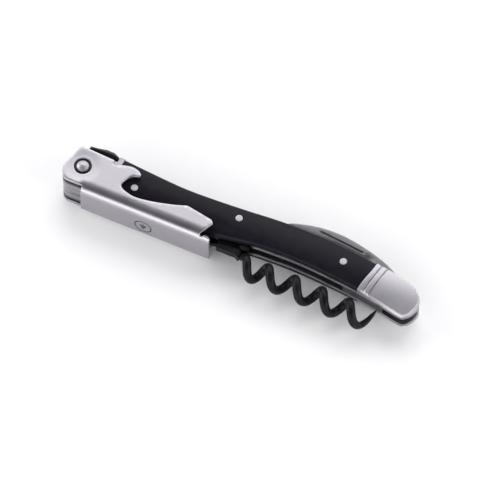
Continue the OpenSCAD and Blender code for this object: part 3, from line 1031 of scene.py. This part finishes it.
def web_mark():
    """A plain etched mark: a ring round a bunch of grapes."""
    centre = np.array([25.3, -0.8])
    deep = 0.02
    lip = 0.004
    ring_r = 3.1
    ring_bore = 2.66
    grape_r = 0.40
    grape_step = (0.82, 0.72)
    first_row = 0.45
    shape = lathe(ring_profile(ring_r, ring_bore, 0, deep, edge=lip), centre, turns=72, ring=True)
    for row, count in enumerate((3, 2, 1)):
        for k in range(count):
            at = centre + np.array([grape_step[0] * (k - (count - 1) / 2), first_row - grape_step[1] * row])
            shape = shape + lathe(pin_profile(grape_r, 0, deep, edge=lip), at, turns=20)
    stem = np.array([(-0.12, 0.95), (0.12, 0.95), (0.30, 1.75), (0.08, 1.8)]) + centre
    shape = shape + plate([stem], level(deep), level(0), over=lip, under=lip, cell=0.6)
    x, s, t = shape.points.T
    shape.points = np.stack([x, WEB_Y + deep / 2 - t, s], 1)
    piece("web_mark_etched", shape, ETCH, [], body="lever")


# ---------------------------------------------------------------- worm
WORM_TIP = FIRST_CREST + PITCH * (TURNS - 1) + TIP_OVER
TUCKED_IN = 0.06


def coil_turns(x):
    """Turns of the coil at x: it leaves the eye at rest, then keeps the pitch."""
    run = FIRST_CREST - WORM_START
    q = (x - WORM_START) / run
    start = eased(q) + run / PITCH * (q * q * q - q * q)
    return np.where(x < FIRST_CREST, start, 1 + (x - FIRST_CREST) / PITCH)


def wire_radius(x):
    """Radius of the wire at x: it swells from the neck and is ground to a point at the tip."""
    neck = NECK_R + (WIRE_R - NECK_R) * np.minimum(1, (x - WORM_START) / NECK_LEN)
    point = np.maximum(TIP_R, WIRE_R * np.sqrt(np.maximum(0, (WORM_TIP - x) / TIP_LEN)))
    return np.where(WORM_TIP - x < TIP_LEN, point, neck)


def coil_place(x):
    """Middle of the wire at x."""
    angle = 2 * math.pi * coil_turns(x)
    r = np.where(WORM_TIP - x < TIP_LEN, COIL_R - wire_radius(x), COIL_R - WIRE_R) - TUCKED_IN
    axis_y = AXIS_MID[1] - math.tan(WORM_FALL) * (x - AXIS_MID[0])
    return np.stack([x, axis_y + r * np.cos(angle), r * np.sin(angle)], 1)


def unit(vectors):
    """The vectors, each scaled to a length of one."""
    return vectors / np.linalg.norm(vectors, axis=1)[:, None]


def worm():
    """Wire swept along the coil, with the grain's coordinates along and round it."""
    sides = 24
    snug = 0.99
    body_steps = 330
    point_steps = 60
    small = 0.002
    body = np.linspace(WORM_START, WORM_TIP - TIP_LEN, body_steps)
    ground = WORM_TIP - TIP_LEN * np.linspace(1, 0, point_steps)[1:] ** 2
    x = np.hstack([body, ground])
    along = unit(coil_place(np.minimum(x + small, WORM_TIP)) - coil_place(np.maximum(x - small, WORM_START)))
    along[0] = (1, 0, 0)
    angle = 2 * math.pi * coil_turns(x)
    out = np.stack([0 * x, np.cos(angle), np.sin(angle)], 1)
    out = unit(out - np.sum(out * along, axis=1)[:, None] * along)
    side = np.cross(along, out)
    centre = coil_place(x)
    travel = np.hstack([0, np.cumsum(np.linalg.norm(np.diff(centre, axis=0), axis=1))])
    r = (wire_radius(x) * snug)[:, None]
    points = []
    turn = []
    for k in range(sides):
        a = 2 * math.pi * k / sides
        points.append(centre + r * (math.cos(a) * out + math.sin(a) * side))
        turn.append(np.full(len(x), abs((k / sides + 0.5) % 1 - 0.5)))
    count = len(x)
    strips = [(k * count, (k + 1) % sides * count) for k in range(sides)]
    faces = [(a + i, b + i, b + i + 1, a + i + 1) for a, b in strips for i in range(count - 1)]
    faces.append([k * count for k in range(sides)])
    faces.append([k * count + count - 1 for k in range(sides)][::-1])
    shape = Shape(np.vstack(points), faces, along=np.tile(travel, sides), around=np.hstack(turn))
    piece("worm_coil", shape, WORM_BLACK, ["worm"], smooth=60)


def worm_tang():
    """Flat eye that the wire grows out of."""
    half = TANG_T / 2
    outlines = loops_at("worm_tang", half)
    shape = plate(outlines, level(half), level(-half), over=0.25, under=0.25, cell=1.5, share=0.3)
    piece("worm_tang_eye", shape, WORM_BLACK, ["worm_tang"])


# ---------------------------------------------------------------- blade
def blade():
    """Ground wedge with a full ricasso, a plunge line between them and a nail nick in the front."""
    nick_from = np.array([78.8, 12.7])
    nick_to = np.array([95.4, 11.1])
    nick_deep = 0.5
    nick_half = 0.55
    nick_end = 1.2
    nick_step = 0.3
    nick_lines = (0.2, 0.5, 0.8, 0.97, 1.03, 1.3)
    least = 1e-4
    edge_half = 0.2
    edge_y = 5
    grind_w = 6.5
    plunge_x = 97.2
    plunge_slope = 0.12
    plunge_w = 1.3
    section_z = 0.013
    length = np.hypot(*(nick_to - nick_from))
    run = (nick_to - nick_from) / length
    up = np.array([-run[1], run[0]])

    def half(x, y):
        rise = (y - edge_y) / grind_w * (BLADE_T / 2 - edge_half)
        wedge = np.clip(edge_half + rise, edge_half, BLADE_T / 2)
        plunge = eased(np.clip((x - plunge_x - plunge_slope * (y - edge_y)) / plunge_w, 0, 1))
        return wedge + plunge * (BLADE_T / 2 - wedge)

    def front(x, y):
        u = (x - nick_from[0]) * run[0] + (y - nick_from[1]) * run[1]
        v = (x - nick_from[0]) * up[0] + (y - nick_from[1]) * up[1]
        ends = np.clip(np.minimum(u, length - u) / nick_end, 0, 1)
        width = nick_half * np.sqrt(np.maximum(ends * (2 - ends), least))
        bowl = np.clip(1 - (v / width) ** 2, 0, 1)
        return half(x, y) - nick_deep * np.sqrt(bowl) * np.sqrt(ends)

    marks = [nick_from + run * u + up * v for u in np.arange(-0.2, length + nick_step, nick_step)
             for side in (-1, 1) for v in side * nick_half * np.array(nick_lines)]
    shape = plate([section("blade", section_z)], front, lambda x, y: -half(x, y), over=0.16, under=0.16,
                  cell=0.9, step=0.5, lines=np.array(marks), share=0.35)
    piece("blade_ground", shape, BLADE_STEEL, ["blade"])


liners()
scales()
head_bolsters()
tail_bolsters()
back_spring()
thumb_rest()
pins()
pivot_stack()
lever()
web_mark()
worm()
worm_tang()
blade()


# ---------------------------------------------------------------- stage
FLOOR_SIZE = 12
FLOOR_GAP = 0.02
LIGHTS_AWAY = 3.0
CAMERA_AWAY = 2.0
PICTURE_WIDTH = 500


def floor():
    """Plain pale floor, a hair under the tool."""
    bpy.ops.mesh.primitive_plane_add(size=FLOOR_SIZE)
    plane = bpy.context.object
    plane.name = "studio_floor"
    plane.location.z = -FLOOR_GAP * MM
    f = Finish("studio_floor", Metallic=0.0, Specular_IOR_Level=0.1, Roughness=0.9)
    paper = f.noise(f.stretched((3, 3, 3)), detail=3)
    f.link(f.ramp(paper, [(0.3, (0.94, 0.94, 0.94)), (0.7, (0.96, 0.96, 0.96))]), "Base Color")
    plane.data.materials.append(f.material)


def softbox(name, towards, size, glow):
    """Rectangular light in a direction from the tool, with its brightness as radiance."""
    light = bpy.data.lights.new(name, "AREA")
    light.shape = "RECTANGLE"
    light.size, light.size_y = size
    light.energy = glow * math.pi * size[0] * size[1]
    ob = bpy.data.objects.new(name, light)
    direction = Vector(towards).normalized()
    ob.location = direction * LIGHTS_AWAY
    ob.rotation_euler = (-direction).to_track_quat("-Z", "Y").to_euler()
    bpy.context.scene.collection.objects.link(ob)


def surroundings():
    """Room that is bright at the horizon and dark overhead, with four softboxes."""
    horizon = (0.98, 0.97, 1.0, 1)
    overhead = (0.10, 0.10, 0.11, 1)
    world = bpy.data.worlds.new("studio")
    world.use_nodes = True
    nodes = world.node_tree.nodes
    links = world.node_tree.links
    split = nodes.new("ShaderNodeSeparateXYZ")
    links.new(nodes.new("ShaderNodeTexCoord").outputs["Generated"], split.inputs[0])
    ramp = nodes.new("ShaderNodeValToRGB")
    for stop, at, colour in zip(ramp.color_ramp.elements, (0.45, 0.80), (horizon, overhead)):
        stop.position = at
        stop.color = colour
    links.new(split.outputs["Z"], ramp.inputs["Fac"])
    links.new(ramp.outputs["Color"], nodes["Background"].inputs["Color"])
    bpy.context.scene.world = world
    softbox("key", (-0.15, 0.72, 0.69), (4.0, 2.2), 2.2)
    softbox("front", (-0.2, -0.96, 0.2), (5.0, 2.5), 1.65)
    softbox("right", (0.95, 0.0, 0.35), (2.2, 1.8), 3.5)
    softbox("left", (-0.95, -0.1, 0.35), (2.2, 1.8), 3.5)


def camera():
    """Long lens that looks down on the front face from the belly side, a little from the tail."""
    azimuth = math.radians(24.4)
    elevation = math.radians(60.3)
    pixels_per_mm = 3.10
    aim = Vector((5.65, -6.1, 14.4)) * MM
    back = Vector((math.sin(azimuth) * math.cos(elevation), -math.cos(azimuth) * math.cos(elevation),
                   math.sin(elevation)))
    lens = bpy.data.cameras.new("camera")
    lens.sensor_width = 36
    lens.lens = pixels_per_mm * CAMERA_AWAY / MM * lens.sensor_width / PICTURE_WIDTH
    ob = bpy.data.objects.new("camera", lens)
    ob.location = aim + back * CAMERA_AWAY
    ob.rotation_euler = (-back).to_track_quat("-Z", "Y").to_euler()
    bpy.context.scene.collection.objects.link(ob)
    bpy.context.scene.camera = ob
    bpy.context.scene.view_settings.view_transform = "Standard"


floor()
surroundings()
camera()
